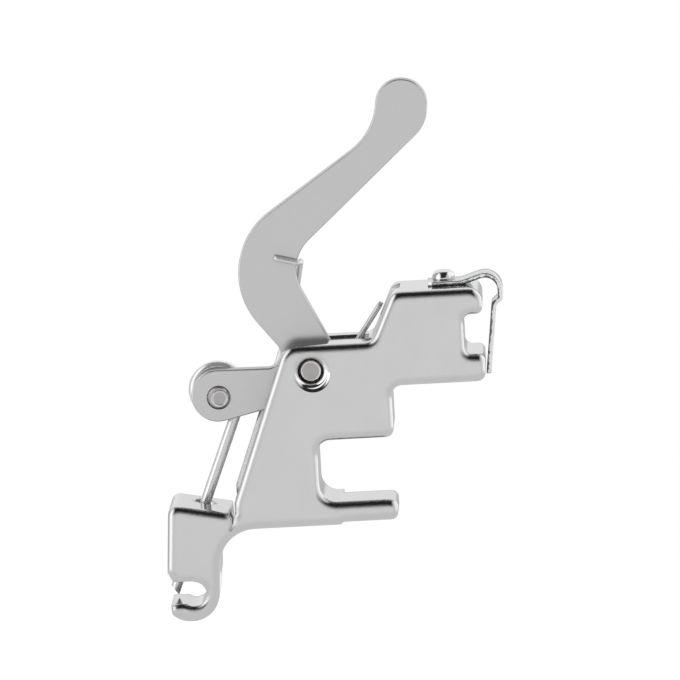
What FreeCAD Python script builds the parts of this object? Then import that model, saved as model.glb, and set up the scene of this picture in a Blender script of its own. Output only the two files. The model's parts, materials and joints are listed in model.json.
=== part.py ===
import FreeCAD, Part
import math
import os

# Presser foot holder with a release lever for quick foot changes, millimetres.
# X runs to the right of the front view, Y runs from the front face to the back, Z is up.
# The origin is the axis of the clamp screw, half way through the thickness of the frame.
# Angles are degrees in the front view, counted from +X towards +Z.

# Frame: thickness and edges
FRAME_DEPTH = 7.0
FRONT_CHEEK = 2.8
LEVER_SLOT = 2.5
FRONT_ROUND = 0.45
BACK_ROUND = 0.25

# Frame: clamp slot and the prong under it
CLAMP_HEIGHT = 5.35
CLAMP_END = 2.7
CLAMP_TOP_ROUND = 1.1
CLAMP_BOTTOM_ROUND = 1.45
PRONG_THICK = 1.78
PRONG_REACH = 3.9
PRONG_TOP_ROUND = 0.65
PRONG_LOW_ROUND = 0.6
PRONG_DEPTH = 5.0
SOLE_DROP = 0.22
SOLE_START = -0.8
SOLE_RAMP = 0.25

# Frame: nose with its notch, to the right of the clamp slot
WAIST_HEIGHT = 4.4
WAIST_ROUND = 0.7
ELBOW_ROUND = 0.9
NOSE_REACH = 12.0
CHIN_HEIGHT = 2.37
CHIN_ROUND = 0.75
NOTCH_HEIGHT = 3.44
NOTCH_DEPTH = 1.67
NOTCH_ROUND = 0.65
LIP_ROUND = 0.55
NOSE_TOP = 15.14
NOSE_ROUND = 1.1

# Frame: rim over the lever slot, and the step from it up to the nose
RIM_OVER_PIVOT = 2.23
RIM_ROUND = 1.6
STEP_FOOT = 2.46
STEP_RUN = 1.94
STEP_FOOT_ROUND = 0.9
STEP_TOP_ROUND = 1.0

# Frame: sloping left edge, with the rear cheek standing a little proud of the front one
LEFT_ANGLE = 69.4
LEFT_FROM_PIVOT = 2.82
REAR_CHEEK_PROUD = 0.28
SLOT_FLOOR_LEAN = 4.0

# Frame: guide block of the latch rod, parted from the cheeks by a narrow gap
BLOCK_X = -15.7
BLOCK_TOP = -2.16
BLOCK_WIDTH = 5.31
BLOCK_TOP_ANGLE = -11.2
BLOCK_SIDE_ANGLE = 266.0
BLOCK_SIDE = 5.93
BLOCK_ROUND = 0.8
BLOCK_CHAMFER_X = 0.38
BLOCK_CHAMFER_Z = 0.78
GAP_WIDTH = 0.46
GAP_DEPTH = 1.55
GAP_LEFT_LEAN = 3.8

# Frame: neck and hook for the cross pin of a presser foot
NECK_X = -11.45
NECK_ROUND = 3.2
SEAT_X = -13.95
SEAT_Z = -10.01
SEAT_R = 1.1
SEAT_LIP = 0.86
HOOK_R = 2.41
HOOK_SHIFT = 0.33
HOOK_TIP_R = 0.64
HOOK_TIP_ANGLE = 233.6
HOOK_DEPTH = 5.3

# Pivot of the lever
PIVOT_X = -2.86
PIVOT_Z = 8.7
PIVOT_R = 0.85
PIVOT_RECESS = 0.3
PIVOT_CHAMFER = 0.12
PIVOT_BACK_RECESS = 0.1
PIVOT_SINK_R = 1.1
PIVOT_SINK = 1.3
PIVOT_SINK_ROUND = 0.32

# Lever, one punched sheet: hub, short arm to the left, long blade up to the thumb tip
LEVER_THICK = 1.1
LEVER_GAP = 0.05
LEVER_EDGE = 0.14
RUNNING = 0.05
SWEEP_ROOM = 0.3
HUB_R = 2.5
ARM_LENGTH = 8.44
ARM_ANGLE = 194.4
ARM_END_R = 2.25
ARM_TOP_ANGLE = -1.0
ARM_CREASE = 1.2
BELLY_X = -11.61
BELLY_Z = 18.19
BELLY_R = 6.49
BELLY_FOOT_ANGLE = -51.7
HOLLOW_X = -4.56
HOLLOW_Z = 17.76
HOLLOW_R = 3.6
THROAT_X = 3.39
THROAT_Z = 28.35
THROAT_R = 5.3
HEEL_X = 8.06
HEEL_Z = 28.95
HEEL_R = 3.2
TIP_X = 6.03
TIP_Z = 30.83
TIP_R = 2.17
TIP_ANGLE = 82.0
TIP_FLARE = 2.0

# Arm rivet: it carries the eye of the rod behind the arm
RIVET_END_R = 0.93
RIVET_HOLE_R = 1.04
RIVET_END = 0.4
RIVET_PROUD = 0.08
RIVET_CHAMFER = 0.12
RIVET_DROP = 0.15
SHOULDER_R = 1.12
RIVET_HEAD_R = 1.95
RIVET_HEAD = 0.55
HEAD_ROUND = 0.2

# Latch rod: one wire, bent to an eye at the top, bevelled at the bottom
ROD_R = 0.47
ROD_ANGLE = 248.0
ROD_REACH = 18.0
ROD_BEVEL = 31.0
EYE_R = 2.08
EYE_TURN = 292.0
EYE_FIT = 0.04
EYE_SIDE_GAP = 0.05
EYE_HANG_ANGLE = 100.0
BORE_LOW_R = 0.78
BORE_TOP_R = 1.15

# Return spring round the pivot, and the bush that it is coiled on
WIRE_R = 0.25
COIL_R = 2.25
COIL_SIDE_GAP = 0.06
COIL_STEPS = 40
BUSH_GAP = 0.15
REST_LEG_ANGLE = 55.1
REST_LEG = 7.62
LEVER_LEG_ANGLE = 78.4
LEVER_LEG = 8.72
HOOK_LEG = 2.3
HOOK_LEG_ANGLE = 165.0
WIRE_BEND = 0.4

# Clip spring on the nose, one bent strip, and its rivet; its places are counted from the nose
CLIP_THICK = 0.36
CLIP_WIDTH = 2.7
CLIP_Y = 0.2
CLIP_ROOT = 4.55
CLIP_LIFT = 1.7
CLIP_LIFT_ANGLE = 17.0
CLIP_LIFT_R = 1.4
HUMP_PAST = 1.58
HUMP_R = 1.3
KINK_UP = 0.92
KINK_PAST = 1.0
KINK_DROP = 0.45
KINK_R = 0.3
CLIP_END_PAST = 0.25
CLIP_END_UP = 0.34
CLIP_RIVET_BACK = 3.2
CLIP_RIVET_R = 0.98
CLIP_RIVET_HEAD = 0.86
CLIP_SHANK_R = 0.6
CLIP_SHANK = 2.6

# Places worked out from the sizes above
FRONT = -FRAME_DEPTH / 2
BACK = FRAME_DEPTH / 2
SLOT_FRONT = FRONT + FRONT_CHEEK
SLOT_BACK = SLOT_FRONT + LEVER_SLOT
CLAMP_TOP = CLAMP_HEIGHT / 2
CLAMP_LOW = -CLAMP_HEIGHT / 2
PRONG_LOW = CLAMP_LOW - PRONG_THICK
SOLE = PRONG_LOW - SOLE_DROP
ELBOW = CLAMP_TOP + WAIST_HEIGHT
NOTCH_LOW = ELBOW + CHIN_HEIGHT
NOTCH_TOP = NOTCH_LOW + NOTCH_HEIGHT
NOTCH_X = NOSE_REACH - NOTCH_DEPTH
RIM = PIVOT_Z + RIM_OVER_PIVOT
LEVER_FRONT = SLOT_FRONT + LEVER_GAP
LEVER_BACK = LEVER_FRONT + LEVER_THICK
ROD_Y = LEVER_BACK + EYE_SIDE_GAP + ROD_R
BUSH_R = COIL_R - WIRE_R - BUSH_GAP
CLIP_MIDDLE = NOSE_TOP + CLIP_THICK / 2
CLIP_RIVET_X = NOSE_REACH - CLIP_RIVET_BACK
PIVOT = (PIVOT_X, PIVOT_Z)
SEAT = (SEAT_X, SEAT_Z)
ALONG_Y = FreeCAD.Vector(0, 1, 0)
PAST = 1.0


def moved(point, angle, distance):
    """The point that lies a distance away in a direction of the front view."""
    turn = math.radians(angle)
    return point[0] + math.cos(turn) * distance, point[1] + math.sin(turn) * distance


def crossing(p, angle_p, q, angle_q):
    """Where two lines of the front view meet."""
    ax, az = moved((0, 0), angle_p, 1)
    bx, bz = moved((0, 0), angle_q, 1)
    step = ((q[0] - p[0]) * bz - (q[1] - p[1]) * bx) / (ax * bz - az * bx)
    return p[0] + ax * step, p[1] + az * step


def at(point, y):
    """A point of the front view, set at the depth y."""
    return FreeCAD.Vector(point[0], y, point[1])


def corner_arc(before, point, after, radius):
    """Start, end and shape of the arc that rounds a corner."""
    one = (before - point).normalize()
    two = (after - point).normalize()
    half = one.getAngle(two) / 2
    reach = radius / math.tan(half)
    middle = point + (one + two).normalize() * (radius / math.sin(half) - radius)
    start = point + one * reach
    end = point + two * reach
    return start, end, Part.Arc(start, middle, end).toShape()


def rounded(corners, y, closed=True):
    """A wire in the front view from corners (x, z, radius), with a tangent arc where there is a radius."""
    points = [at(corner, y) for corner in corners]
    pieces = []
    last = None
    for i, corner in enumerate(corners):
        first, end, arc = points[i], points[i], None
        if corner[2] > 0:
            first, end, arc = corner_arc(points[i - 1], points[i], points[(i + 1) % len(points)], corner[2])
        if last is None:
            start = first
        elif (first - last).Length > 1e-5:
            pieces.append(Part.LineSegment(last, first).toShape())
        if arc:
            pieces.append(arc)
        last = end
    if closed and (start - last).Length > 1e-5:
        pieces.append(Part.LineSegment(last, start).toShape())
    return Part.Wire(pieces)


def plate(corners, y0, y1):
    """A flat plate with a rounded outline, between two depths."""
    return Part.Face(rounded(corners, y0)).extrude(ALONG_Y * (y1 - y0))


def bar(point, y0, y1, radius):
    """A round bar along Y."""
    return Part.makeCylinder(radius, y1 - y0, at(point, y0), ALONG_Y)


def box(x0, x1, y0, y1, z0, z1):
    return Part.makeBox(x1 - x0, y1 - y0, z1 - z0, FreeCAD.Vector(x0, y0, z0))


def flat_edges(shape, y):
    """The edges that lie in the plane at the depth y."""
    return [e for e in shape.Edges if abs(e.BoundBox.YMin - y) < 1e-4 and abs(e.BoundBox.YMax - y) < 1e-4]


def swept(path, radius):
    """A round wire along a smooth path."""
    edge = path.Edges[0]
    start = edge.valueAt(edge.FirstParameter)
    along = edge.tangentAt(edge.FirstParameter)
    ring = Part.Wire(Part.makeCircle(radius, start, along))
    return path.makePipeShell([ring], True, False)


ARM_END = moved(PIVOT, ARM_ANGLE, ARM_LENGTH)
ARM_LOW_ANGLE = ARM_ANGLE - 180 - math.degrees(math.asin((HUB_R - ARM_END_R) / ARM_LENGTH))
RIVET = (ARM_END[0] + RIVET_DROP / 2, ARM_END[1] - RIVET_DROP)
EYE = moved(RIVET, EYE_HANG_ANGLE, EYE_R - ROD_R - SHOULDER_R - EYE_FIT)
ROD_TOP = moved(EYE, ROD_ANGLE + 90, EYE_R)
BLOCK_RIGHT = moved((BLOCK_X, BLOCK_TOP), BLOCK_TOP_ANGLE, BLOCK_WIDTH)
BLOCK_SIDE_LOW = moved((BLOCK_X, BLOCK_TOP), BLOCK_SIDE_ANGLE, BLOCK_SIDE)
BLOCK_LOW = BLOCK_SIDE_LOW[1] - BLOCK_CHAMFER_Z
GAP_FOOT = moved(BLOCK_RIGHT, -90 + GAP_LEFT_LEAN, GAP_DEPTH)


def frame_outline(proud):
    """The frame from the front, clockwise from the rim; the gap, the mouth and the seat are cut later."""
    left = moved(PIVOT, LEFT_ANGLE + 90, LEFT_FROM_PIVOT + proud)
    rim_left = crossing(left, LEFT_ANGLE, (0, RIM), 0)
    gap_side = BLOCK_RIGHT[0] + GAP_WIDTH
    left_low = crossing(left, LEFT_ANGLE, (gap_side, 0), 90)
    hook = (SEAT_X - HOOK_SHIFT, SEAT_Z)
    hook_low = SEAT_Z - HOOK_R
    tip_touch = moved(hook, HOOK_TIP_ANGLE, HOOK_R)
    tip_x = moved(hook, HOOK_TIP_ANGLE, HOOK_R - HOOK_TIP_R)[0] - HOOK_TIP_R
    under = crossing(tip_touch, HOOK_TIP_ANGLE - 90, (0, hook_low), 0)
    corner = crossing(tip_touch, HOOK_TIP_ANGLE - 90, (tip_x, 0), 90)
    return [
        (rim_left[0], RIM, RIM_ROUND),
        (STEP_FOOT, RIM, STEP_FOOT_ROUND),
        (STEP_FOOT + STEP_RUN, NOSE_TOP, STEP_TOP_ROUND),
        (NOSE_REACH, NOSE_TOP, NOSE_ROUND),
        (NOSE_REACH, NOTCH_TOP, LIP_ROUND),
        (NOTCH_X, NOTCH_TOP, NOTCH_ROUND),
        (NOTCH_X, NOTCH_LOW, NOTCH_ROUND),
        (NOSE_REACH, NOTCH_LOW, LIP_ROUND),
        (NOSE_REACH, ELBOW, CHIN_ROUND),
        (PRONG_REACH, ELBOW, ELBOW_ROUND),
        (PRONG_REACH, CLAMP_TOP, WAIST_ROUND),
        (-CLAMP_END, CLAMP_TOP, CLAMP_TOP_ROUND),
        (-CLAMP_END, CLAMP_LOW, CLAMP_BOTTOM_ROUND),
        (PRONG_REACH, CLAMP_LOW, PRONG_TOP_ROUND),
        (PRONG_REACH, PRONG_LOW, PRONG_LOW_ROUND),
        (SOLE_START, PRONG_LOW, 0),
        (SOLE_START - SOLE_RAMP, SOLE, 0),
        (NECK_X, SOLE, NECK_ROUND),
        (hook[0] + HOOK_R, hook_low, HOOK_R),
        (under[0], under[1], HOOK_R),
        (corner[0], corner[1], HOOK_TIP_R),
        (tip_x, BLOCK_LOW, 0),
        (BLOCK_SIDE_LOW[0] + BLOCK_CHAMFER_X, BLOCK_LOW, 0),
        (BLOCK_SIDE_LOW[0], BLOCK_SIDE_LOW[1], 0),
        (BLOCK_X, BLOCK_TOP, BLOCK_ROUND),
        (BLOCK_RIGHT[0], BLOCK_RIGHT[1], 0),
        (gap_side, BLOCK_RIGHT[1], 0),
        (left_low[0], left_low[1], 0),
    ]


def lever_slot():
    """Room for the lever and its spring, open along the sloping left edge and the rim."""
    room = COIL_R + WIRE_R + SWEEP_ROOM
    floor = moved(PIVOT, ARM_LOW_ANGLE - 90, room)
    wall = moved(PIVOT, REST_LEG_ANGLE - 90, room)
    low = crossing(floor, ARM_LOW_ANGLE, wall, REST_LEG_ANGLE)
    knee = crossing(GAP_FOOT, LEFT_ANGLE - SLOT_FLOOR_LEAN, floor, ARM_LOW_ANGLE)
    top = crossing(wall, REST_LEG_ANGLE, (0, NOSE_TOP + PAST), 0)
    corners = [
        (GAP_FOOT[0], GAP_FOOT[1], 0),
        (knee[0], knee[1], PAST),
        (low[0], low[1], room),
        (top[0], top[1], 0),
        (RIVET[0], top[1], 0),
        (RIVET[0], RIVET[1], 0),
        (BLOCK_RIGHT[0], BLOCK_RIGHT[1] + PAST, 0),
        (BLOCK_RIGHT[0], BLOCK_RIGHT[1], 0),
    ]
    return plate(corners, SLOT_FRONT, SLOT_BACK)


def guide_gap():
    """The narrow V between the guide block and the cheeks."""
    corners = [
        (BLOCK_RIGHT[0], BLOCK_RIGHT[1] + PAST, 0),
        (BLOCK_RIGHT[0], BLOCK_RIGHT[1], 0),
        (GAP_FOOT[0], GAP_FOOT[1], 0),
        (BLOCK_RIGHT[0] + GAP_WIDTH, BLOCK_RIGHT[1], 0),
        (BLOCK_RIGHT[0] + GAP_WIDTH, BLOCK_RIGHT[1] + PAST, 0),
    ]
    return plate(corners, FRONT - PAST, BACK + PAST)


def foot_mouth():
    """The way in to the seat, between the hook's lip and the guide block."""
    mouth = box(BLOCK_X - 3 * PAST, SEAT_X, FRONT - PAST, BACK + PAST, SEAT_Z - SEAT_LIP, BLOCK_LOW)
    return mouth.fuse(bar(SEAT, FRONT - PAST, BACK + PAST, SEAT_R))


def rear_steps():
    """The prong and the hook are thinner than the frame; the metal comes off their backs."""
    prong = box(SOLE_START, PRONG_REACH + PAST, FRONT + PRONG_DEPTH, BACK + PAST, SOLE - PAST, CLAMP_LOW)
    hook = box(BLOCK_X - 3 * PAST, NECK_X + PAST, FRONT + HOOK_DEPTH, BACK + PAST, SEAT_Z - 3 * PAST, BLOCK_LOW)
    return prong.fuse(hook)


def rod_bore():
    """A tapered way through the guide block, so that the rod can swing a little as it slides."""
    low = moved(ROD_TOP, ROD_ANGLE, ROD_REACH)
    length = (BLOCK_TOP + PAST - low[1]) / math.sin(math.radians(ROD_ANGLE - 180))
    up = moved((0, 0), ROD_ANGLE - 180, 1)
    return Part.makeCone(BORE_LOW_R, BORE_TOP_R, length, at(low, ROD_Y), at(up, 0))


def pivot_bore():
    """Hole of the pivot pin, sunk at the front with a rounded lip."""
    sink = bar(PIVOT, FRONT - PAST, FRONT + PIVOT_SINK, PIVOT_SINK_R)
    lip = bar(PIVOT, FRONT, FRONT + PIVOT_SINK_ROUND, PIVOT_SINK_R + PIVOT_SINK_ROUND)
    ring = Part.makeTorus(PIVOT_SINK_R + PIVOT_SINK_ROUND, PIVOT_SINK_ROUND,
                          at(PIVOT, FRONT + PIVOT_SINK_ROUND), ALONG_Y)
    return bar(PIVOT, FRONT - PAST, BACK + PAST, PIVOT_R).fuse(sink).fuse(lip.cut(ring))


def make_frame():
    front = plate(frame_outline(0), FRONT, SLOT_FRONT)
    front = front.makeFillet(FRONT_ROUND, flat_edges(front, FRONT))
    rear = plate(frame_outline(REAR_CHEEK_PROUD), SLOT_FRONT, BACK)
    rear = rear.makeFillet(BACK_ROUND, flat_edges(rear, BACK))
    frame = front.fuse(rear)
    for cut in (lever_slot(), guide_gap(), foot_mouth(), rear_steps(), rod_bore(), pivot_bore()):
        frame = frame.cut(cut)
    shank = bar((0, 0), 0, CLIP_SHANK, CLIP_SHANK_R)
    shank.rotate(FreeCAD.Vector(0, 0, 0), FreeCAD.Vector(1, 0, 0), -90)
    shank.translate(FreeCAD.Vector(CLIP_RIVET_X, CLIP_Y, NOSE_TOP))
    return frame.cut(shank).removeSplitter()


def make_pivot_pin():
    front, back = FRONT + PIVOT_RECESS, BACK - PIVOT_BACK_RECESS
    pin = bar(PIVOT, front, back, PIVOT_R)
    return pin.makeChamfer(PIVOT_CHAMFER, flat_edges(pin, front) + flat_edges(pin, back))


def lever_outline():
    """The lever from the front, clockwise from the left end of its arm."""
    end = moved(ARM_END, ARM_ANGLE, ARM_END_R)
    arm_top = moved(ARM_END, 90 + ARM_TOP_ANGLE, ARM_END_R)
    arm_low = moved(ARM_END, ARM_LOW_ANGLE - 90, ARM_END_R)
    belly = (BELLY_X, BELLY_Z)
    hollow = (HOLLOW_X, HOLLOW_Z)
    tip = (TIP_X, TIP_Z)
    top_left = crossing(end, ARM_ANGLE + 90, arm_top, ARM_TOP_ANGLE)
    low_left = crossing(end, ARM_ANGLE + 90, arm_low, ARM_LOW_ANGLE)
    crease = crossing(arm_top, ARM_TOP_ANGLE, belly, BELLY_FOOT_ANGLE)
    tip_left = crossing(moved(tip, TIP_ANGLE + 90, TIP_R), TIP_ANGLE, moved(tip, TIP_ANGLE, TIP_R), TIP_ANGLE + 90)
    tip_right = crossing(moved(tip, TIP_ANGLE, TIP_R), TIP_ANGLE - 90, (HEEL_X, HEEL_Z), TIP_ANGLE + TIP_FLARE)
    hub_angle = hub_tangent(hollow)
    hub = crossing(moved(PIVOT, hub_angle + 90, HUB_R), hub_angle, arm_low, ARM_LOW_ANGLE)
    return [
        (top_left[0], top_left[1], ARM_END_R),
        (crease[0], crease[1], ARM_CREASE),
        (belly[0], belly[1], BELLY_R),
        (THROAT_X, THROAT_Z, THROAT_R),
        (tip_left[0], tip_left[1], TIP_R),
        (tip_right[0], tip_right[1], TIP_R),
        (HEEL_X, HEEL_Z, HEEL_R),
        (hollow[0], hollow[1], HOLLOW_R),
        (hub[0], hub[1], HUB_R),
        (low_left[0], low_left[1], ARM_END_R),
    ]


def hub_tangent(point):
    """Direction down from a point to touch the right side of the hub."""
    dx, dz = PIVOT_X - point[0], PIVOT_Z - point[1]
    spread = math.degrees(math.asin(HUB_R / math.hypot(dx, dz)))
    return math.degrees(math.atan2(dz, dx)) + spread


def make_lever():
    lever = plate(lever_outline(), LEVER_FRONT, LEVER_BACK)
    lever = lever.makeFillet(LEVER_EDGE, flat_edges(lever, LEVER_FRONT))
    lever = lever.cut(bar(PIVOT, LEVER_FRONT - PAST, LEVER_BACK + PAST, PIVOT_R + RUNNING))
    return lever.cut(bar(RIVET, LEVER_FRONT - PAST, LEVER_BACK + PAST, RIVET_HOLE_R))


def make_arm_rivet():
    """Peened end in front, shank in the arm, shoulder through the eye, flat head behind."""
    front = LEVER_FRONT - RIVET_PROUD
    shoulder_end = LEVER_BACK + 2 * (EYE_SIDE_GAP + ROD_R)
    end = bar(RIVET, front, LEVER_FRONT + RIVET_END, RIVET_END_R)
    end = end.makeChamfer(RIVET_CHAMFER, flat_edges(end, front))
    shank = bar(RIVET, LEVER_FRONT + RIVET_END, LEVER_BACK, RIVET_HOLE_R)
    shoulder = bar(RIVET, LEVER_BACK, shoulder_end, SHOULDER_R)
    head = bar(RIVET, shoulder_end, shoulder_end + RIVET_HEAD, RIVET_HEAD_R)
    head = head.makeFillet(HEAD_ROUND, flat_edges(head, shoulder_end + RIVET_HEAD))
    return end.fuse(shank).fuse(shoulder).fuse(head).removeSplitter()


def make_rod():
    """Straight wire up to the eye, the eye bent round, the lower end cut off at a slant."""
    low = moved(ROD_TOP, ROD_ANGLE, ROD_REACH + PAST)
    line = Part.LineSegment(at(low, ROD_Y), at(ROD_TOP, ROD_Y)).toShape()
    start = ROD_ANGLE + 90 - 360
    middle = moved(EYE, start + EYE_TURN / 2, EYE_R)
    end = moved(EYE, start + EYE_TURN, EYE_R)
    eye = Part.Arc(at(ROD_TOP, ROD_Y), at(middle, ROD_Y), at(end, ROD_Y)).toShape()
    wire = swept(Part.Wire([line, eye]), ROD_R)
    point = moved(moved(ROD_TOP, ROD_ANGLE, ROD_REACH), ROD_ANGLE + 90, ROD_R)
    slant = ROD_ANGLE - 90 - ROD_BEVEL
    far = moved(point, slant, 6 * ROD_R)
    near = moved(point, slant + 180, 2 * ROD_R)
    waste = [near, far, moved(far, ROD_ANGLE, 4 * PAST), moved(near, ROD_ANGLE, 4 * PAST)]
    return wire.cut(plate([(p[0], p[1], 0) for p in waste], ROD_Y - PAST, ROD_Y + PAST))


def make_bush():
    tube = bar(PIVOT, LEVER_BACK + RUNNING, SLOT_BACK, BUSH_R)
    return tube.cut(bar(PIVOT, LEVER_BACK, SLOT_BACK + PAST, PIVOT_R))


def coil_path():
    """Centre line of the return spring: rest leg, coil, lever leg, then the hook over the lever's face."""
    front = LEVER_BACK + COIL_SIDE_GAP + WIRE_R
    back = SLOT_BACK - COIL_SIDE_GAP - WIRE_R
    first = REST_LEG_ANGLE - 90
    turn = 360 + first - (LEVER_LEG_ANGLE + 90 - 360)
    points = []
    for i in range(COIL_STEPS + 1):
        share = i / COIL_STEPS
        drop = share - math.sin(2 * math.pi * share) / (2 * math.pi)
        points.append(at(moved(PIVOT, first - turn * share, COIL_R), back + (front - back) * drop))
    into = -at(moved((0, 0), REST_LEG_ANGLE, 1), 0)
    out = at(moved((0, 0), LEVER_LEG_ANGLE, 1), 0)
    coil = Part.BSplineCurve()
    coil.interpolate(Points=points, InitialTangent=into, FinalTangent=out)
    rest_end = points[0] - into * REST_LEG
    corner = points[-1] + out * LEVER_LEG
    over = FreeCAD.Vector(corner.x, LEVER_FRONT - WIRE_R - RUNNING, corner.z)
    hook_end = over + at(moved((0, 0), HOOK_LEG_ANGLE, 1), 0) * HOOK_LEG
    up, bend_end, bend = corner_arc(points[-1], corner, over, WIRE_BEND)
    fold, fold_end, fold_arc = corner_arc(corner, over, hook_end, WIRE_BEND)
    return Part.Wire([
        Part.LineSegment(rest_end, points[0]).toShape(),
        coil.toShape(),
        Part.LineSegment(points[-1], up).toShape(),
        bend,
        Part.LineSegment(bend_end, fold).toShape(),
        fold_arc,
        Part.LineSegment(fold_end, hook_end).toShape(),
    ])


def make_spring():
    return swept(coil_path(), WIRE_R)


def clip_path():
    """Middle line of the clip strip in the front view."""
    lift = (NOSE_REACH - CLIP_LIFT, CLIP_MIDDLE)
    hump_x = NOSE_REACH + HUMP_PAST
    kink = NOTCH_TOP + KINK_UP
    hump = crossing(lift, CLIP_LIFT_ANGLE, (hump_x, 0), 90)
    return [
        (NOSE_REACH - CLIP_ROOT, CLIP_MIDDLE, 0),
        (lift[0], lift[1], CLIP_LIFT_R),
        (hump[0], hump[1], HUMP_R),
        (hump_x, kink, KINK_R),
        (NOSE_REACH + KINK_PAST, kink - KINK_DROP, KINK_R),
        (NOSE_REACH + CLIP_END_PAST, ELBOW + CLIP_END_UP, 0),
    ]


def make_clip():
    path = rounded(clip_path(), CLIP_Y, closed=False)
    x, z = NOSE_REACH - CLIP_ROOT, CLIP_MIDDLE
    half = CLIP_THICK / 2
    y0, y1 = CLIP_Y - CLIP_WIDTH / 2, CLIP_Y + CLIP_WIDTH / 2
    corners = [FreeCAD.Vector(x, y, z + dz) for y, dz in ((y0, -half), (y1, -half), (y1, half), (y0, half))]
    section = Part.makePolygon(corners + corners[:1])
    strip = path.makePipeShell([section], True, False)
    hole = Part.makeCylinder(CLIP_SHANK_R, 2 * PAST, FreeCAD.Vector(CLIP_RIVET_X, CLIP_Y, NOSE_TOP - PAST / 2))
    return strip.cut(hole)


def make_clip_rivet():
    head_low = NOSE_TOP + CLIP_THICK
    shank = Part.makeCylinder(CLIP_SHANK_R, CLIP_SHANK + CLIP_THICK,
                              FreeCAD.Vector(CLIP_RIVET_X, CLIP_Y, NOSE_TOP - CLIP_SHANK))
    head = Part.makeCylinder(CLIP_RIVET_R, CLIP_RIVET_HEAD, FreeCAD.Vector(CLIP_RIVET_X, CLIP_Y, head_low))
    top = [e for e in head.Edges if e.BoundBox.ZMin > head_low + CLIP_RIVET_HEAD / 2]
    return shank.fuse(head.makeFillet(HEAD_ROUND, top)).removeSplitter()


NODES = {
    "holder_frame": make_frame,
    "pivot_pin": make_pivot_pin,
    "spring_bush": make_bush,
    "return_spring": make_spring,
    "release_lever": make_lever,
    "arm_rivet": make_arm_rivet,
    "latch_rod": make_rod,
    "clip_spring": make_clip,
    "clip_rivet": make_clip_rivet,
}

os.makedirs("parts", exist_ok=True)
for name, make in NODES.items():
    shape = make()
    print(name, shape.ShapeType, shape.isValid(), len(shape.Solids), round(shape.Volume, 2))
    shape.exportStep("parts/" + name + ".step")
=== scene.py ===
import json
import math

import bmesh
import bpy
from mathutils import Matrix, Vector


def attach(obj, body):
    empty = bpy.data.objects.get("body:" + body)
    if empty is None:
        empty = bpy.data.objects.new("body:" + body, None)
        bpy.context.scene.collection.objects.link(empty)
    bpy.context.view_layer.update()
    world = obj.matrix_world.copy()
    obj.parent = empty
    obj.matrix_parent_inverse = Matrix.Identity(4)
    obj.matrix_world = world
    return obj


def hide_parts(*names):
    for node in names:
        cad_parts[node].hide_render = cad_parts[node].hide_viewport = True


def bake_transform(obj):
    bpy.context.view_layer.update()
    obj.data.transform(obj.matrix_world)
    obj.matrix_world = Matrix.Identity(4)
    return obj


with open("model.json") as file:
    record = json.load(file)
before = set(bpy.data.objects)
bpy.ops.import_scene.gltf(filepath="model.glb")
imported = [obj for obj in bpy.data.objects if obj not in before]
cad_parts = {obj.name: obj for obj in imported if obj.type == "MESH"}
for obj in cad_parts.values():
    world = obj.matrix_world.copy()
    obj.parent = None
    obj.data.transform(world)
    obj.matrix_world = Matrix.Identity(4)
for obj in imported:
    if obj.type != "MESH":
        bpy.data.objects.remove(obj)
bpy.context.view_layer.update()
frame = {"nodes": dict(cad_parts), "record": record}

# Camera
# A long lens well away from the part, a little above it and a touch to its right,
# and rolled slightly, so that the front face is seen almost square on.
MM = 0.001
AIM = Vector((-0.21, -3.5, 11.30)) * MM
AZIMUTH = math.radians(2.0)
ELEVATION = math.radians(8.4)
ROLL = math.radians(-3.3)
DISTANCE = 600 * MM
FOCAL_LENGTH = 373.7
SENSOR_WIDTH = 36.0
NEAREST = 20 * MM
FARTHEST = 20000 * MM


def add_object(name, data):
    """An object of the given data, linked to the scene."""
    made = bpy.data.objects.new(name, data)
    bpy.context.scene.collection.objects.link(made)
    return made


lens = bpy.data.cameras.new("long_lens")
lens.lens = FOCAL_LENGTH
lens.sensor_width = SENSOR_WIDTH
lens.clip_start = NEAREST
lens.clip_end = FARTHEST
camera = add_object("camera", lens)
away = Vector((
    math.sin(AZIMUTH) * math.cos(ELEVATION),
    -math.cos(AZIMUTH) * math.cos(ELEVATION),
    math.sin(ELEVATION),
))
upright = (-away).to_track_quat("-Z", "Y")
camera.rotation_mode = "QUATERNION"
camera.location = AIM + away * DISTANCE
camera.rotation_quaternion = upright @ Matrix.Rotation(ROLL, 3, "Z").to_quaternion()
bpy.context.scene.camera = camera
bpy.context.scene.view_settings.view_transform = "Standard"

# Studio
# A white tent over pale paper, with brighter panels at the sides and overhead. Above
# the camera it is open to a dark room, which draws the black lines along the plated
# roundings. Only mirrors see all this: for the camera and for matt surfaces the tent
# is plain white. WALLS has its brightness at degrees to the right of the camera.
WHITE = 1.0
WALLS = [
    (-179, 0.56), (-150, 0.68), (-110, 0.62), (-98, 0.70), (-84, 1.15), (-72, 1.7), (-50, 2.2), (-36, 1.6),
    (-26, 1.1), (-18, 0.90), (-9, 1.08), (0, 1.12), (26, 1.16), (43, 0.86), (55, 1.0), (66, 1.4), (76, 2.0),
    (86, 1.25), (98, 1.25), (108, 2.0), (125, 1.9), (142, 1.3), (160, 0.85), (171, 0.56), (179, 0.56),
]
BRIGHTEST = max(level for degrees, level in WALLS)
BEHIND_EDGE = (0.90, 0.965)
BEHIND_HORIZON = (-0.05, 0.06)
BEHIND_EXTRA = 0.42
BELOW_EDGE = (0.30, 0.60)
TOP_LEAN_Y = 0.8
TOP_LEAN_Z = 0.6
TOP_EDGE = (0.64, 0.74)
TOP_LEVEL = 1.3
ROOM_HORIZON = (-0.05, 0.09)
ROOM_SIDE = (0.38, 0.60)
ROOM_DARKNESS = 0.975


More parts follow.
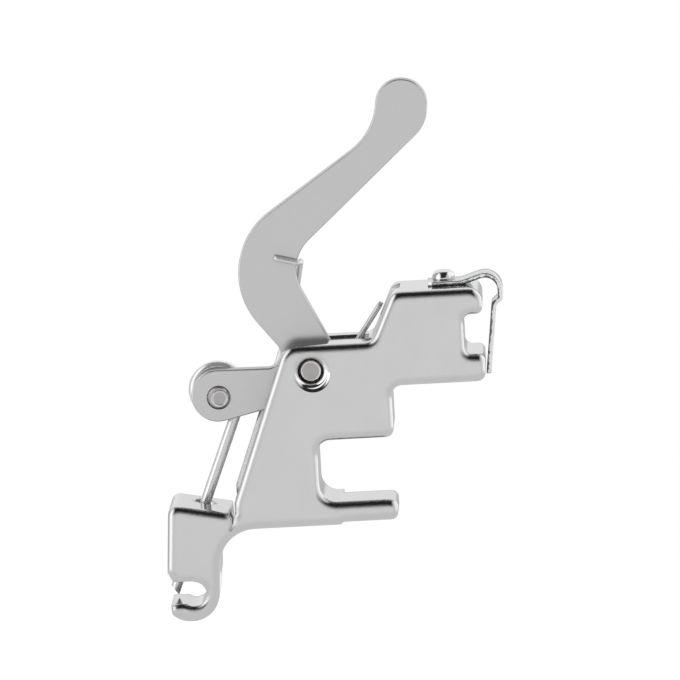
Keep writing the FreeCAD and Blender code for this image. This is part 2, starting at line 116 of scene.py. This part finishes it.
class Wire:
    """One output in a node tree; arithmetic on it adds the nodes that work it out."""

    def __init__(self, tree, out=None):
        self.tree = tree
        self.out = out

    def node(self, kind, settings, sockets, out=0):
        """A node with its settings made first, then the values or links of its sockets."""
        made = self.tree.nodes.new("ShaderNode" + kind)
        for name, value in settings.items():
            if name == "stops":
                ramp = made.color_ramp.elements
                for place, tone in value:
                    ramp.new(place).color = (tone, tone, tone, 1.0)
                ramp.remove(ramp[0])
                ramp.remove(ramp[len(ramp) - 1])
            else:
                setattr(made, name, value)
        for key, value in sockets.items():
            socket = made.inputs[key]
            if isinstance(value, Wire):
                self.tree.links.new(value.out, socket)
            elif socket.type in ("RGBA", "VECTOR") and isinstance(value, (int, float)):
                socket.default_value = [value] * 3 + [1.0] * (socket.type == "RGBA")
            elif socket.type == "RGBA":
                socket.default_value = list(value) + [1.0]
            else:
                socket.default_value = value
        return Wire(self.tree, made.outputs[out] if len(made.outputs) else None)

    def along(self, axis):
        """One coordinate of a place or a direction."""
        return self.node("SeparateXYZ", {}, {0: self}, axis)

    def join(self, one, two, operation):
        """Both values in the node that suits them: for colours, vectors or plain numbers."""
        kinds = [value.out.type for value in (one, two) if isinstance(value, Wire)]
        if "RGBA" in kinds:
            settings = {"data_type": "RGBA", "blend_type": operation}
            return self.node("Mix", settings, {0: 1.0, 6: one, 7: two}, 2)
        if "VECTOR" in kinds:
            return self.node("VectorMath", {"operation": operation}, {0: one, 1: two})
        return self.node("Math", {"operation": operation}, {0: one, 1: two})

    def __add__(self, other):
        return self.join(self, other, "ADD")

    def __radd__(self, other):
        return self.join(other, self, "ADD")

    def __sub__(self, other):
        return self.join(self, other, "SUBTRACT")

    def __rsub__(self, other):
        return self.join(other, self, "SUBTRACT")

    def __mul__(self, other):
        return self.join(self, other, "MULTIPLY")

    def __rmul__(self, other):
        return self.join(other, self, "MULTIPLY")

    def __truediv__(self, other):
        return self.join(self, other, "DIVIDE")

    def __pow__(self, other):
        return self.join(self, other, "POWER")

    def __neg__(self):
        return 0.0 - self


def fade(value, low, high):
    """0 below the first number, 1 above the second, smooth between them."""
    settings = {"interpolation_type": "SMOOTHSTEP"}
    return value.node("MapRange", settings, {"Value": value, "From Min": low, "From Max": high})


def grey(level):
    """A level of brightness as a colour."""
    return level.node("CombineColor", {}, {0: level, 1: level, 2: level})


def new_material(name):
    """An empty material and the start of its node tree."""
    made = bpy.data.materials.new(name)
    made.use_nodes = True
    made.node_tree.nodes.clear()
    return made, Wire(made.node_tree)


tent = bpy.data.worlds.new("white_tent")
tent.use_nodes = True
tent.node_tree.nodes.clear()
bpy.context.scene.world = tent
sky = Wire(tent.node_tree)
direction = sky.node("TexCoord", {}, {}, "Generated")
x = direction.along("X")
y = direction.along("Y")
z = direction.along("Z")
aside = sky.node("Math", {"operation": "ABSOLUTE"}, {0: x})
round_about = sky.node("Math", {"operation": "ARCTAN2"}, {0: x, 1: -y}) / (2 * math.pi) + 0.5
stops = [(0.5 + degrees / 360, level / BRIGHTEST) for degrees, level in WALLS]
walls = sky.node("ValToRGB", {"stops": stops}, {0: round_about})
walls = sky.node("RGBToBW", {}, {0: walls}) * BRIGHTEST
straight_behind = fade(y, *BEHIND_EDGE)
walls = walls + BEHIND_EXTRA * straight_behind * fade(z, *BEHIND_HORIZON)
walls = walls + (WHITE - walls) * fade(-z, *BELOW_EDGE)
overhead = fade(TOP_LEAN_Z * z + TOP_LEAN_Y * y, *TOP_EDGE)
room = fade(z, *ROOM_HORIZON) * (1.0 - fade(aside, *ROOM_SIDE)) * (1.0 - overhead)
walls = walls * (1.0 - ROOM_DARKNESS * room)
walls = walls + (TOP_LEVEL - walls) * overhead * (1.0 - straight_behind)
mirrored = sky.node("LightPath", {}, {}, "Is Glossy Ray")
light = WHITE + (walls - WHITE) * mirrored
glow = sky.node("Background", {}, {"Color": grey(light), "Strength": 1.0})
sky.node("OutputWorld", {}, {"Surface": glow})

# Floor
# Pale paper under the part, which the camera alone sees a little brighter.
FLOOR_LEVEL = -70 * MM
FLOOR_HALF = 330 * MM
FLOOR_SQUARES = 8
PAPER_TONE = 0.93
PAPER_LIFT = 0.25
PAPER_ROUGHNESS = 0.9

grid = bmesh.new()
bmesh.ops.create_grid(grid, x_segments=FLOOR_SQUARES, y_segments=FLOOR_SQUARES, size=FLOOR_HALF)
bmesh.ops.translate(grid, vec=(0, 0, FLOOR_LEVEL), verts=grid.verts)
floor_mesh = bpy.data.meshes.new("floor")
grid.to_mesh(floor_mesh)
grid.free()
floor = add_object("floor", floor_mesh)
paper, shade = new_material("floor_paper")
lift = shade.node("LightPath", {}, {}, "Is Camera Ray") * PAPER_LIFT
matt = shade.node("BsdfPrincipled", {}, {
    "Base Color": PAPER_TONE,
    "Roughness": PAPER_ROUGHNESS,
    "Emission Color": grey(lift),
    "Emission Strength": 1.0,
})
shade.node("OutputMaterial", {}, {"Surface": matt})
floor_mesh.materials.append(paper)

# Softbox
# It adds soft light from above, and no mirror sees it.
SOFTBOX_SIDE = 500 * MM
SOFTBOX_POWER = 0.35
SOFTBOX_PLACE = (50 * MM, -150 * MM, 700 * MM)

softbox = bpy.data.lights.new("softbox", "AREA")
softbox.size = SOFTBOX_SIDE
softbox.energy = SOFTBOX_POWER
softbox_object = add_object("softbox", softbox)
softbox_object.location = SOFTBOX_PLACE
softbox_object.visible_glossy = False

# Holder frame
# One piece of metal, tumbled until its edges are round, then bright plated, with a
# faint orange peel, some haze and a few fine specks. A shallow dish is pressed round
# the pivot, a little low of its centre. Its lighter tone is a painted highlight that
# stands in for the bright crescent the dish reflects.
joints = frame["record"]["behaviour"]["joints"]
places = {joint["name"]: [value / MM for value in joint["pos_m"]] for joint in joints}
PIVOT_X, _, PIVOT_Z = places["lever_pivot"]
FRONT_FACE = (2.9, 3.1)
DISH_X = PIVOT_X + 0.16
DISH_Z = PIVOT_Z - 0.26
DISH_WALL = (1.20, 1.56)
DISH_DEPTH = 0.08 * MM
# How much lighter the dish is painted, as a painted highlight.
DISH_PAINTED_HIGHLIGHT = 0.30
PEEL_DEPTH = 0.0016 * MM
GRIT_SHARE = 0.12
SPECK_EDGE = (0.68, 0.80)
SPECK_TONE = 0.10
SPECK_ROUGHNESS = 0.25
HAZE_TONE = 0.04
HAZE_ROUGHNESS = 0.05
PLATE_ROUNDING = 0.75 * MM
PLATE_TONE = 0.50
PLATE_TINT = (1.0, 1.0, 1.005)
PLATE_ROUGHNESS = 0.05


def in_millimetres(shade):
    """The place on the piece, in millimetres, fixed to the piece."""
    return shade.node("TexCoord", {}, {}, "Object") * (1 / MM)


def noise(where, scale, detail, roughness=0.5):
    """Cloudy variation between 0 and 1; the scale is in waves to the millimetre."""
    sockets = {"Vector": where, "Scale": scale, "Detail": detail, "Roughness": roughness}
    return where.node("TexNoise", {}, sockets)


def from_axis(where, axis_x, axis_z):
    """Distance from an axis along Y, in millimetres."""
    across = where.along("X") - axis_x
    up = where.along("Z") - axis_z
    return (across * across + up * up) ** 0.5


def metal(shade, colour, roughness, height, depth, normal=None, bare=1.0):
    """A metal surface with relief of the given depth; the share that isn't bare looks pale."""
    sockets = {"Height": height, "Strength": 1.0, "Distance": depth}
    if normal:
        sockets["Normal"] = normal
    bump = shade.node("Bump", {}, sockets)
    surface = shade.node("BsdfPrincipled", {}, {
        "Base Color": colour, "Metallic": bare, "Roughness": roughness, "Normal": bump,
    })
    shade.node("OutputMaterial", {}, {"Surface": surface})


def put_on(node, material):
    """Gives a carried-over solid its finish."""
    solid = frame["nodes"][node]
    for place in solid.material_slots:
        place.material = material


plating, shade = new_material("frame_plating")
where = in_millimetres(shade)
haze = noise(where, scale=0.45, detail=4.0)
peel = noise(where, scale=1.7, detail=2.0)
grit = noise(where, scale=8.0, detail=3.0)
specks = fade(noise(where, scale=9.0, detail=3.0, roughness=0.7), *SPECK_EDGE)
in_front = fade(-where.along("Y"), *FRONT_FACE)
pressed = in_front * (1.0 - fade(from_axis(where, DISH_X, DISH_Z), *DISH_WALL))
# The dish's lighter tone is a painted highlight, not a colour of the plating.
tone = PLATE_TONE + HAZE_TONE * haze - SPECK_TONE * specks + DISH_PAINTED_HIGHLIGHT * pressed
roughness = PLATE_ROUGHNESS + HAZE_ROUGHNESS * haze + SPECK_ROUGHNESS * specks
height = peel + GRIT_SHARE * grit - (DISH_DEPTH / PEEL_DEPTH) * pressed
rounded = shade.node("Bevel", {"samples": 8}, {"Radius": PLATE_ROUNDING})
flat = shade.node("NewGeometry", {}, {}, "Normal")
edge = shade.node("Mix", {"data_type": "VECTOR"}, {0: pressed, 4: rounded, 5: flat}, 1)
metal(shade, grey(tone) * PLATE_TINT, roughness, height, PEEL_DEPTH, edge)
put_on("holder_frame", plating)

# Pivot pin and spring bush
# A turned steel pin pressed through both cheeks. Its bare end sits in a sunk ring of
# the front cheek, shows fine turning marks and has a burnished rim.
MARK_PITCH = 0.11
MARK_TONE = 0.012
MARK_HEIGHT = 0.5
PIN_DEPTH = 0.003 * MM
RIM_INSIDE = (0.71, 0.76)
RIM_OUTSIDE = (0.86, 0.90)
RIM_TONE = 0.45
RIM_PALE = 0.7
BLOTCH_TONE = 0.05
BLOTCH_ROUGHNESS = 0.12
PIN_TONE = 0.39
PIN_TINT = (1.0, 0.965, 0.95)
PIN_ROUGHNESS = 0.24

turned, shade = new_material("turned_pin")
where = in_millimetres(shade)
from_pivot = from_axis(where, PIVOT_X, PIVOT_Z)
marks = shade.node("Math", {"operation": "SINE"}, {0: from_pivot * (2 * math.pi / MARK_PITCH)})
blotch = noise(where, scale=2.2, detail=3.0)
pits = noise(where, scale=6.0, detail=3.0)
burnished = fade(from_pivot, *RIM_INSIDE) * (1.0 - fade(from_pivot, *RIM_OUTSIDE))
tone = PIN_TONE + BLOTCH_TONE * blotch + MARK_TONE * marks + RIM_TONE * burnished
roughness = PIN_ROUGHNESS + BLOTCH_ROUGHNESS * blotch
height = MARK_HEIGHT * marks + pits
metal(shade, grey(tone) * PIN_TINT, roughness, height, PIN_DEPTH, bare=1.0 - RIM_PALE * burnished)
put_on("pivot_pin", turned)
put_on("spring_bush", turned)

# Return spring
# Drawn spring wire, wound not quite one and a half turns round the pivot. One leg
# lies along the step of the frame, the other runs up the lever and hooks over it.
WIRE_R = 0.25
WIRE_SIDES = 14
WIRE_END = 0.825
COIL_R = 2.25
COIL_BACK_Y = 1.49
COIL_FRONT_Y = 0.76
COIL_START = -34.9
COIL_TURN = 516.7
COIL_STEPS = 150
REST_LEG = 7.62
REST_LEG_ANGLE = 55.1
LEVER_LEG = 8.72
LEVER_LEG_ANGLE = 78.4
LEG_PITCH = 0.4
HOOK_Y = -0.95
HOOK_LEG = 2.3
HOOK_LEG_ANGLE = 165.0
HOOK_BEND = 0.4
HOOK_BEND_STEPS = 10
HOOK_PITCH = 0.3
WIRE_DEPTH = 0.002 * MM
WIRE_TONE = 0.56
WIRE_TINT = (1.0, 0.995, 0.985)
WIRE_ROUGHNESS = 0.32
STREAK_TONE = 0.12
STREAK_ROUGHNESS = 0.12
WIRE_BARE = 0.65


def in_view(angle):
    """A direction of the front view as a vector."""
    turn = math.radians(angle)
    return Vector((math.cos(turn), 0, math.sin(turn)))


def run(start, end, pitch):
    """Points from start up to, but without, end."""
    count = max(1, round((end - start).length / pitch))
    return [start.lerp(end, i / count) for i in range(count)]


def arc_points(before, corner, after, radius, steps):
    """The arc that rounds a corner, made by turning its first spoke."""
    one = (before - corner).normalized()
    two = (after - corner).normalized()
    half = one.angle(two) / 2
    centre = corner + (one + two).normalized() * (radius / math.sin(half))
    spoke = corner + one * (radius / math.tan(half)) - centre
    axis = spoke.cross(corner + two * (radius / math.tan(half)) - centre).normalized()
    sweep = math.pi - 2 * half
    return [centre + Matrix.Rotation(sweep * i / steps, 3, axis) @ spoke for i in range(steps + 1)]


def directions(path):
    """The path's direction at each of its points."""
    earlier = path[:1] + path[:-1]
    later = path[1:] + path[-1:]
    return [(end - start).normalized() for start, end in zip(earlier, later)]


def skin(name, rows, smooth_ends=False):
    """A closed piece through rows of points in millimetres, with a face over each end."""
    made = bmesh.new()
    loops = [[made.verts.new(point * MM) for point in row] for row in rows]
    around = len(loops[0])
    for low, high in zip(loops, loops[1:]):
        for k in range(around):
            made.faces.new((low[k], low[(k + 1) % around], high[(k + 1) % around], high[k]))
    made.faces.new(list(reversed(loops[0])))
    made.faces.new(loops[-1])
    bmesh.ops.recalc_face_normals(made, faces=made.faces)
    mesh = bpy.data.meshes.new(name)
    made.to_mesh(mesh)
    made.free()
    for face in mesh.polygons:
        face.use_smooth = smooth_ends or len(face.vertices) == 4
    return add_object(name, mesh)


def circle_turns(sides):
    """Equal turns round a full circle, in radians."""
    return [2 * math.pi * k / sides for k in range(sides)]


def wire_rows(path):
    """Rings of a round wire along a path, a little smaller at its two cut ends."""
    sizes = [WIRE_END] + [1.0] * (len(path) - 2) + [WIRE_END]
    side = Vector((0, 1, 0))
    rows = []
    for point, along, size in zip(path, directions(path), sizes):
        side = (side - along * side.dot(along)).normalized()
        up = along.cross(side)
        spokes = [side * math.cos(turn) + up * math.sin(turn) for turn in circle_turns(WIRE_SIDES)]
        rows.append([point + spoke * WIRE_R * size for spoke in spokes])
    return rows


pivot = Vector((PIVOT_X, 0, PIVOT_Z))
coil = []
for i in range(COIL_STEPS + 1):
    share = i / COIL_STEPS
    drop = share - math.sin(2 * math.pi * share) / (2 * math.pi)
    point = pivot + in_view(COIL_START - COIL_TURN * share) * COIL_R
    point.y = COIL_BACK_Y + (COIL_FRONT_Y - COIL_BACK_Y) * drop
    coil.append(point)
rest_end = coil[0] + in_view(REST_LEG_ANGLE) * REST_LEG
corner = coil[-1] + in_view(LEVER_LEG_ANGLE) * LEVER_LEG
over = Vector((corner.x, HOOK_Y, corner.z))
hook_end = over + in_view(HOOK_LEG_ANGLE) * HOOK_LEG
bend_in = arc_points(coil[-1], corner, over, HOOK_BEND, HOOK_BEND_STEPS)
bend_out = arc_points(corner, over, hook_end, HOOK_BEND, HOOK_BEND_STEPS)
path = run(rest_end, coil[0], LEG_PITCH) + coil[:-1]
path += run(coil[-1], bend_in[0], LEG_PITCH) + bend_in
path += run(bend_in[-1], bend_out[0], HOOK_PITCH)[1:] + bend_out
path += run(bend_out[-1], hook_end, HOOK_PITCH)[1:] + [hook_end]
spring = skin("return_spring_wire", wire_rows(path))

drawn, shade = new_material("spring_wire")
where = in_millimetres(shade)
streak = noise(where, scale=3.5, detail=4.0, roughness=0.65)
pits = noise(where, scale=12.0, detail=3.0)
tone = WIRE_TONE + STREAK_TONE * streak
roughness = WIRE_ROUGHNESS + STREAK_ROUGHNESS * streak
metal(shade, grey(tone) * WIRE_TINT, roughness, pits, WIRE_DEPTH, bare=WIRE_BARE)
spring.data.materials.append(drawn)
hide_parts("return_spring")
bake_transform(spring)

# Release lever
# Punched from 1.1 mm sheet and tumbled, so its faces are satin with a fine, even
# grain, and its sheared edges are darker and duller. It carries the arm rivet.
NICK_EDGE = (0.70, 0.76)
NICK_HEIGHT = 0.4
SHEARED_EDGE = (0.06, 0.30)
SHEARED_TONE = 0.25
SHEARED_ROUGHNESS = 0.16
GRAIN_TONE = 0.04
GRAIN_ROUGHNESS = 0.04
GRAIN_DEPTH = 0.0035 * MM
CLOUD_TONE = 0.03
CLOUD_ROUGHNESS = 0.05
SHEET_TONE = 0.487
SHEET_TINT = (1.0, 1.0, 0.998)
SHEET_ROUGHNESS = 0.15
SHEET_BARE = 0.7

satin, shade = new_material("satin_sheet")
where = in_millimetres(shade)
cloud = noise(where, scale=0.30, detail=3.0)
grain = noise(where, scale=13.0, detail=4.0, roughness=0.65)
nicks = fade(noise(where, scale=4.2, detail=2.0), *NICK_EDGE)
facing = shade.node("NewGeometry", {}, {}, "Normal").along("Y")
sheared = 1.0 - fade(facing * facing, *SHEARED_EDGE)
tone = (SHEET_TONE + CLOUD_TONE * cloud + GRAIN_TONE * (grain - 0.5)) * (1.0 - SHEARED_TONE * sheared)
roughness = SHEET_ROUGHNESS + CLOUD_ROUGHNESS * cloud + GRAIN_ROUGHNESS * grain + SHEARED_ROUGHNESS * sheared
metal(shade, grey(tone) * SHEET_TINT, roughness, grain - NICK_HEIGHT * nicks, GRAIN_DEPTH, bare=SHEET_BARE)
put_on("release_lever", satin)

# Arm rivet
# A soft steel rivet through the end of the arm, peened over in front. Behind the
# arm its shoulder carries the rod's eye, and its flat head keeps the eye on.
RIVET_X, _, RIVET_Z = places["rod_eye"]
CROWN_X = RIVET_X + 0.10
CROWN_Z = RIVET_Z - 0.08
CROWN_INSIDE = (0.50, 0.58)
CROWN_OUTSIDE = (0.66, 0.80)
CROWN_DROP = 0.8
BLOW_TONE = 0.16
BLOW_HEIGHT = 1.2
FINE_HEIGHT = 0.15
DENT_TONE = 0.08
DENT_ROUGHNESS = 0.10
DENT_DEPTH = 0.025 * MM
RIVET_TONE = 0.385
RIVET_TINT = (1.0, 0.975, 0.98)
RIVET_ROUGHNESS = 0.28
RIVET_BARE = 0.8

peened, shade = new_material("peened_rivet")
where = in_millimetres(shade)
dents = noise(where, scale=2.6, detail=2.0)
fine = noise(where, scale=11.0, detail=3.0)
from_crown = from_axis(where, CROWN_X, CROWN_Z)
blow = fade(from_crown, *CROWN_INSIDE) - CROWN_DROP * fade(from_crown, *CROWN_OUTSIDE)
tone = RIVET_TONE + DENT_TONE * dents + BLOW_TONE * blow
roughness = RIVET_ROUGHNESS + DENT_ROUGHNESS * dents
height = dents + FINE_HEIGHT * fine + BLOW_HEIGHT * blow
metal(shade, grey(tone) * RIVET_TINT, roughness, height, DENT_DEPTH, bare=RIVET_BARE)
put_on("arm_rivet", peened)

# Latch rod
# One length of bright drawn wire, bent to an eye round the rivet's shoulder and
# cut at a slant at the hook. Drawing left fine lines along it.
ROD_ANGLE = 248.0
STRAIGHT_DOWN = 270.0
LINE_SCALE = (9.0, 9.0, 0.35)
LINE_TONE = 0.14
LINE_ROUGHNESS = 0.08
LINE_DEPTH = 0.004 * MM
ROD_TONE = 0.60
ROD_TINT = (1.0, 1.0, 0.995)
ROD_ROUGHNESS = 0.20
ROD_BARE = 0.65

bright, shade = new_material("bright_rod")
lean = (0.0, math.radians(ROD_ANGLE - STRAIGHT_DOWN), 0.0)
sockets = {"Vector": in_millimetres(shade), "Rotation": lean, "Scale": LINE_SCALE}
along_rod = shade.node("Mapping", {"vector_type": "POINT"}, sockets)
lines = noise(along_rod, scale=1.0, detail=3.0, roughness=0.6)
tone = ROD_TONE + LINE_TONE * lines
roughness = ROD_ROUGHNESS + LINE_ROUGHNESS * lines
metal(shade, grey(tone) * ROD_TINT, roughness, lines, LINE_DEPTH, bare=ROD_BARE)
put_on("latch_rod", bright)

# Clip spring
# A narrow strip of polished spring steel, riveted on the nose. It rises, folds over
# the nose and springs down across the notch, where it holds a guide's bar. Punching
# left its front side torn. A dark, broken line of painted shade runs along the inner
# edge of that side and stands in for the shadow on the strip's inner face.
BEND_X, STRIP_Y, STRIP_Z = places["clip_flex"]
STRIP_THICK = 0.43
STRIP_WIDTH = 2.7
STRIP_EDGE = 0.07
STRIP_CORNERS = [
    (7.45, STRIP_Z, 0.0), (BEND_X, STRIP_Z, 1.4), (13.58, 16.32, 1.3),
    (13.58, 13.805, 0.3), (13.0, 13.355, 0.3), (12.25, 7.415, 0.0),
]
STRIP_PITCH = 0.5
STRIP_BEND_STEPS = 12
ACROSS = Vector((0, 1, 0))
FRONT_SIDE = (0.95, 1.10)
# The painted shade along the strip's inner edge: where it fades in, how far it wanders, and how dark it is.
PAINTED_SHADE_EDGE = (0.62, 0.88)
PAINTED_SHADE_WANDER = 1.5
PAINTED_SHADE_TONE = 0.82
SIDE_TONE = 0.15
WAVE_TONE = 0.06
WAVE_ROUGHNESS = 0.08
WAVE_HEIGHT = 0.1
TORN_DEPTH = 0.03 * MM
STRIP_TONE = 0.50
STRIP_TINT = (0.99, 1.0, 1.005)
STRIP_ROUGHNESS = 0.12
STRIP_BARE = 0.8


def strip_path(line):
    """The strip's middle line as points, from corners given as x, z and bend radius."""
    corners = [Vector((corner_x, STRIP_Y, corner_z)) for corner_x, corner_z, radius in line]
    points = [corners[0]]
    for i in range(1, len(corners) - 1):
        arc = arc_points(corners[i - 1], corners[i], corners[i + 1], line[i][2], STRIP_BEND_STEPS)
        points += run(points[-1], arc[0], STRIP_PITCH)[1:] + arc
    return points + run(points[-1], corners[-1], STRIP_PITCH)[1:] + [corners[-1]]


def strip_section():
    """The strip's section with its long edges broken, as (across, inward) in millimetres."""
    wide = STRIP_WIDTH / 2 - STRIP_EDGE
    deep = STRIP_THICK / 2 - STRIP_EDGE
    points = []
    for across, inward, first in ((1, 1, 0), (-1, 1, 90), (-1, -1, 180), (1, -1, 270)):
        for k in range(4):
            turn = math.radians(first + 30 * k)
            aside = across * wide + STRIP_EDGE * math.cos(turn)
            depth = inward * deep + STRIP_EDGE * math.sin(turn)
            points.append((aside, depth))
    return points


section = strip_section()
rows = []
points = strip_path(STRIP_CORNERS)
for point, along in zip(points, directions(points)):
    outward = along.cross(ACROSS)
    rows.append([point + ACROSS * across - outward * inward for across, inward in section])
clip = skin("clip_strip", rows)
# A mask of the front side's inner edge, where shade is painted.
painted_shade_line = clip.data.attributes.new("painted_shade_line", "FLOAT", "POINT")
for i, corner in enumerate(painted_shade_line.data):
    across, inward = section[i % len(section)]
    corner.value = float(across < 0 and inward > 0)

polished, shade = new_material("polished_strip")
where = in_millimetres(shade)
wave = noise(where, scale=0.8, detail=3.0)
# Noise that roughens the torn front side and breaks the painted shade into dashes.
tear_and_dash_noise = noise(where, scale=3.2, detail=2.0)
cut_side = fade(-where.along("Y"), *FRONT_SIDE)
inner = shade.node("Attribute", {"attribute_name": "painted_shade_line"}, {}, "Fac")
# Painted shade: the inner edge of the front side darkened in dashes.
painted_shade = cut_side * fade(inner + PAINTED_SHADE_WANDER * (tear_and_dash_noise - 0.5), *PAINTED_SHADE_EDGE)
tone = (STRIP_TONE + WAVE_TONE * wave + SIDE_TONE * cut_side) * (1.0 - PAINTED_SHADE_TONE * painted_shade)
roughness = STRIP_ROUGHNESS + WAVE_ROUGHNESS * wave
height = WAVE_HEIGHT * wave + cut_side * tear_and_dash_noise
metal(shade, grey(tone) * STRIP_TINT, roughness, height, TORN_DEPTH, bare=STRIP_BARE)
clip.data.materials.append(polished)
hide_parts("clip_spring")
STRIP_Y * MM
STRIP_Z * MM
STRIP_Y * MM
STRIP_Z * MM
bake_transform(clip)

# Clip rivet
# A small rivet through the strip into the top of the nose. Its head was formed
# cold, so it is domed, a little bulged at the side and dimpled in the middle. Its
# profile is a radius at each level, from the end of the shank up.
HEAD_X = 8.8
HEAD_PROFILE = [
    (0.60, 12.54), (0.60, 15.50), (0.90, 15.50), (0.965, 15.56), (0.98, 15.68),
    (0.965, 15.84), (0.925, 15.99), (0.85, 16.13), (0.73, 16.25), (0.57, 16.325),
    (0.40, 16.357), (0.28, 16.36), (0.19, 16.34), (0.10, 16.315),
]
HEAD_SIDES = 40
UNEVEN_TONE = 0.10
UNEVEN_ROUGHNESS = 0.08
UNEVEN_DEPTH = 0.02 * MM
HEAD_TONE = 0.52
HEAD_TINT = (1.0, 0.985, 0.98)
HEAD_ROUGHNESS = 0.10

rows = []
for radius, level in HEAD_PROFILE:
    ring = [(radius * math.cos(turn), radius * math.sin(turn)) for turn in circle_turns(HEAD_SIDES)]
    rows.append([Vector((HEAD_X + across, STRIP_Y + back, level)) for across, back in ring])
head = skin("clip_rivet_head", rows, smooth_ends=True)

headed, shade = new_material("headed_rivet")
uneven = noise(in_millimetres(shade), scale=1.9, detail=2.0)
tone = HEAD_TONE + UNEVEN_TONE * uneven
roughness = HEAD_ROUGHNESS + UNEVEN_ROUGHNESS * uneven
metal(shade, grey(tone) * HEAD_TINT, roughness, uneven, UNEVEN_DEPTH)
head.data.materials.append(headed)
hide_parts("clip_rivet")
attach(head, "frame")
